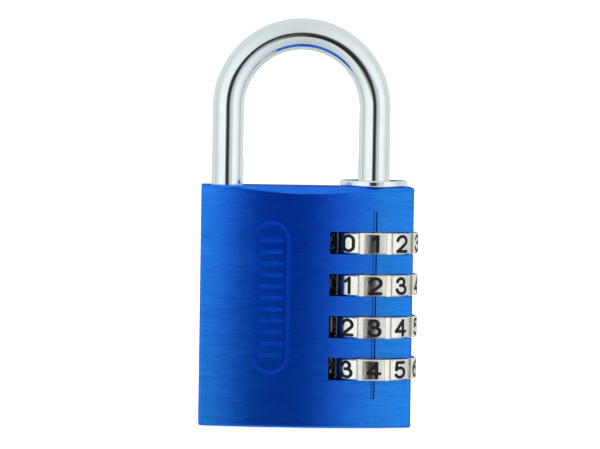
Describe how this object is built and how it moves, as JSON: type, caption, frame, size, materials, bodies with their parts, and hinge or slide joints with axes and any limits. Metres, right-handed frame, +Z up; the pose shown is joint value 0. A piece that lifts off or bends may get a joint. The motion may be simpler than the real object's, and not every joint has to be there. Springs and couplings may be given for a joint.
{
  "type": "combination padlock",
  "caption": "Combination padlock with a blue anodised case of lens-shaped section, a round chrome shackle and number dials standing out of slots at one side.",
  "frame": {"origin": "centre of the case's flat base", "axes": "+Z up through the shackle, -Y is the front that the code is read from, +X towards the dials"},
  "size_m": [0.0412, 0.0172, 0.077],
  "materials": {
    "blue_anodised": "anodised over fine horizontal brushing",
    "shackle_chrome": "polished",
    "bush_chrome": "polished",
    "dial_nickel": "satin nickel plate",
    "black_enamel": "enamel filled flush",
    "sleeve_brass": "machined",
    "pin_steel": "ground",
    "spring_steel": "drawn wire",
    "acetal": "moulded"
  },
  "bodies": {
    "case": {"lock_case": "blue_anodised", "guide_bush": "bush_chrome", "bush_pin": "pin_steel", "return_spring": "spring_steel", "detent_spring_1": "spring_steel", "detent_spring_2": "spring_steel", "detent_spring_3": "spring_steel", "detent_spring_4": "spring_steel"},
    "cushion": {"leg_cushion": "acetal"},
    "shackle": {"shackle": "shackle_chrome", "locking_pin_1": "pin_steel", "locking_pin_2": "pin_steel", "locking_pin_3": "pin_steel", "locking_pin_4": "pin_steel"},
    "washer": {"thrust_washer": "pin_steel"},
    "dial_1": {"number_dial_1": "dial_nickel", "dial_numerals_1": "black_enamel"},
    "sleeve_1": {"code_sleeve_1": "sleeve_brass"},
    "dial_2": {"number_dial_2": "dial_nickel", "dial_numerals_2": "black_enamel"},
    "sleeve_2": {"code_sleeve_2": "sleeve_brass"},
    "dial_3": {"number_dial_3": "dial_nickel", "dial_numerals_3": "black_enamel"},
    "sleeve_3": {"code_sleeve_3": "sleeve_brass"},
    "dial_4": {"number_dial_4": "dial_nickel", "dial_numerals_4": "black_enamel"},
    "sleeve_4": {"code_sleeve_4": "sleeve_brass"}
  },
  "joints": [
    {"name": "shackle_lift", "type": "slide", "parent": "case", "child": "cushion", "axis": [0, 0, 1], "range_m": [0, 0.0079]},
    {"name": "shackle_turn", "type": "hinge", "parent": "cushion", "child": "shackle", "pos_m": [0.01265, 0, 0.0453], "axis": [0, 0, 1], "continuous": true},
    {"name": "code_press", "type": "slide", "parent": "case", "child": "washer", "axis": [0, 0, -1], "range_m": [0, 0.0018], "stiffness_N_per_m": 1500, "springref_m": -0.0015, "deforming": ["return_spring"]},
    {"name": "dial_1_turn", "type": "hinge", "parent": "case", "child": "dial_1", "pos_m": [0.01265, 0, 0.0348], "axis": [0, 0, 1], "continuous": true, "deforming": ["detent_spring_1"]},
    {"name": "dial_2_turn", "type": "hinge", "parent": "case", "child": "dial_2", "pos_m": [0.01265, 0, 0.0269], "axis": [0, 0, 1], "continuous": true, "deforming": ["detent_spring_2"]},
    {"name": "dial_3_turn", "type": "hinge", "parent": "case", "child": "dial_3", "pos_m": [0.01265, 0, 0.019], "axis": [0, 0, 1], "continuous": true, "deforming": ["detent_spring_3"]},
    {"name": "dial_4_turn", "type": "hinge", "parent": "case", "child": "dial_4", "pos_m": [0.01265, 0, 0.0111], "axis": [0, 0, 1], "continuous": true, "deforming": ["detent_spring_4"]},
    {"name": "sleeve_1_press", "type": "slide", "parent": "dial_1", "child": "sleeve_1", "axis": [0, 0, -1], "range_m": [0, 0.0018]},
    {"name": "sleeve_2_press", "type": "slide", "parent": "dial_2", "child": "sleeve_2", "axis": [0, 0, -1], "range_m": [0, 0.0018]},
    {"name": "sleeve_3_press", "type": "slide", "parent": "dial_3", "child": "sleeve_3", "axis": [0, 0, -1], "range_m": [0, 0.0018]},
    {"name": "sleeve_4_press", "type": "slide", "parent": "dial_4", "child": "sleeve_4", "axis": [0, 0, -1], "range_m": [0, 0.0018]}
  ],
  "couplings": [
    {"joint": "sleeve_1_press", "follows": "code_press", "ratio": 1},
    {"joint": "sleeve_2_press", "follows": "code_press", "ratio": 1},
    {"joint": "sleeve_3_press", "follows": "code_press", "ratio": 1},
    {"joint": "sleeve_4_press", "follows": "code_press", "ratio": 1}
  ]
}
